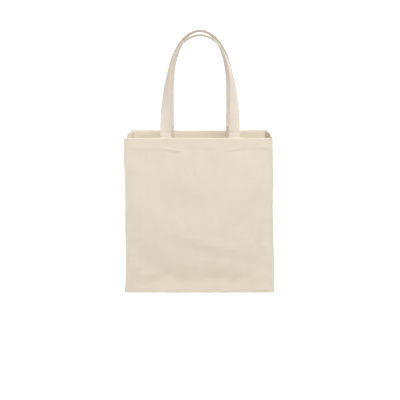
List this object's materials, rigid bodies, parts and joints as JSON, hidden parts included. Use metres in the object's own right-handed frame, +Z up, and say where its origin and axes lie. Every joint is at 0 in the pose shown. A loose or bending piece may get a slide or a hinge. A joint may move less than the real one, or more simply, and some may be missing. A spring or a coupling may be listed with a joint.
{
  "type": "canvas tote bag",
  "caption": "Open-topped natural canvas tote bag with a boxed gusset, turned hem and long sewn strap handles, folding flat along creases in its sides and base.",
  "frame": {"origin": "on the floor, under the middle of the open bag", "axes": "+X to the right across the front panel, the front faces -Y, +Z up to the handles"},
  "size_m": [0.384, 0.123, 0.662],
  "materials": {
    "panel_canvas": "matt unbleached cotton canvas",
    "gusset_canvas": "matt unbleached cotton canvas",
    "base_canvas": "matt unbleached cotton canvas",
    "hem_canvas": "matt unbleached cotton canvas, turned and pressed",
    "handle_canvas": "matt unbleached cotton canvas, folded in four layers",
    "thread": "matt natural cotton-wrapped thread"
  },
  "bodies": {
    "rear": {"rear_panel": "panel_canvas", "rear_hem": "hem_canvas", "left_flange_rear": "gusset_canvas", "right_flange_rear": "gusset_canvas", "rear_left_tab": "handle_canvas", "rear_right_tab": "handle_canvas", "rear_left_box_stitch": "thread", "rear_right_box_stitch": "thread", "rear_hem_stitch": "thread", "rear_left_edge_stitch": "thread", "rear_right_edge_stitch": "thread", "rear_bottom_edge_stitch": "thread"},
    "front": {"front_panel": "panel_canvas", "front_hem": "hem_canvas", "left_flange_front": "gusset_canvas", "right_flange_front": "gusset_canvas", "front_left_tab": "handle_canvas", "front_right_tab": "handle_canvas", "front_left_box_stitch": "thread", "front_right_box_stitch": "thread", "front_hem_stitch": "thread", "front_left_edge_stitch": "thread", "front_right_edge_stitch": "thread", "front_bottom_edge_stitch": "thread"},
    "right_rear_leaf": {"right_gusset_rear": "gusset_canvas", "right_hem_rear": "hem_canvas", "right_tuck_rear": "gusset_canvas"},
    "right_front_leaf": {"right_gusset_front": "gusset_canvas", "right_hem_front": "hem_canvas", "right_tuck_front": "gusset_canvas"},
    "left_rear_leaf": {"left_gusset_rear": "gusset_canvas", "left_hem_rear": "hem_canvas", "left_tuck_rear": "gusset_canvas"},
    "left_front_leaf": {"left_gusset_front": "gusset_canvas", "left_hem_front": "hem_canvas", "left_tuck_front": "gusset_canvas"},
    "base_rear": {"bottom_rear": "base_canvas"},
    "base_front": {"bottom_front": "base_canvas"},
    "front_handle": {"front_handle": "handle_canvas"},
    "rear_handle": {"rear_handle": "handle_canvas"}
  },
  "joints": [
    {"name": "flatten", "type": "hinge", "parent": "rear", "child": "right_rear_leaf", "pos_m": [0.1858, 0.0498, 0], "axis": [0.0197, 0, -0.9998], "range_deg": [0, 68], "deforming": ["right_tuck_rear"]},
    {"name": "right_crease", "type": "hinge", "parent": "right_rear_leaf", "child": "right_front_leaf", "pos_m": [0.187, 0, 0], "axis": [-0.0197, 0, 0.9998], "range_deg": [0, 136], "deforming": ["right_tuck_front"]},
    {"name": "right_front_corner", "type": "hinge", "parent": "right_front_leaf", "child": "front", "pos_m": [0.1858, -0.0498, 0], "axis": [0.0197, 0, -0.9998], "range_deg": [0, 68]},
    {"name": "left_rear_corner", "type": "hinge", "parent": "rear", "child": "left_rear_leaf", "pos_m": [-0.1858, 0.0498, 0], "axis": [0.0197, 0, 0.9998], "range_deg": [0, 68], "deforming": ["left_tuck_rear"]},
    {"name": "left_crease", "type": "hinge", "parent": "left_rear_leaf", "child": "left_front_leaf", "pos_m": [-0.187, 0, 0], "axis": [-0.0197, 0, -0.9998], "range_deg": [0, 136], "deforming": ["left_tuck_front"]},
    {"name": "base_rear_corner", "type": "hinge", "parent": "rear", "child": "base_rear", "pos_m": [0, 0.0498, 0.0012], "axis": [-1, 0, 0], "range_deg": [0, 68]},
    {"name": "base_crease", "type": "hinge", "parent": "base_rear", "child": "base_front", "pos_m": [0, 0, 0], "axis": [1, 0, 0], "range_deg": [0, 136]},
    {"name": "front_handle_swing", "type": "hinge", "parent": "front", "child": "front_handle", "pos_m": [0, -0.0486, 0.416], "axis": [1, 0, 0], "range_deg": [0, 145]},
    {"name": "rear_handle_swing", "type": "hinge", "parent": "rear", "child": "rear_handle", "pos_m": [0, 0.0486, 0.416], "axis": [-1, 0, 0], "range_deg": [0, 145]}
  ],
  "couplings": [
    {"joint": "right_crease", "follows": "flatten", "ratio": 2},
    {"joint": "right_front_corner", "follows": "flatten", "ratio": 1},
    {"joint": "left_rear_corner", "follows": "flatten", "ratio": 1},
    {"joint": "left_crease", "follows": "flatten", "ratio": 2},
    {"joint": "base_rear_corner", "follows": "flatten", "ratio": 1},
    {"joint": "base_crease", "follows": "flatten", "ratio": 2}
  ]
}
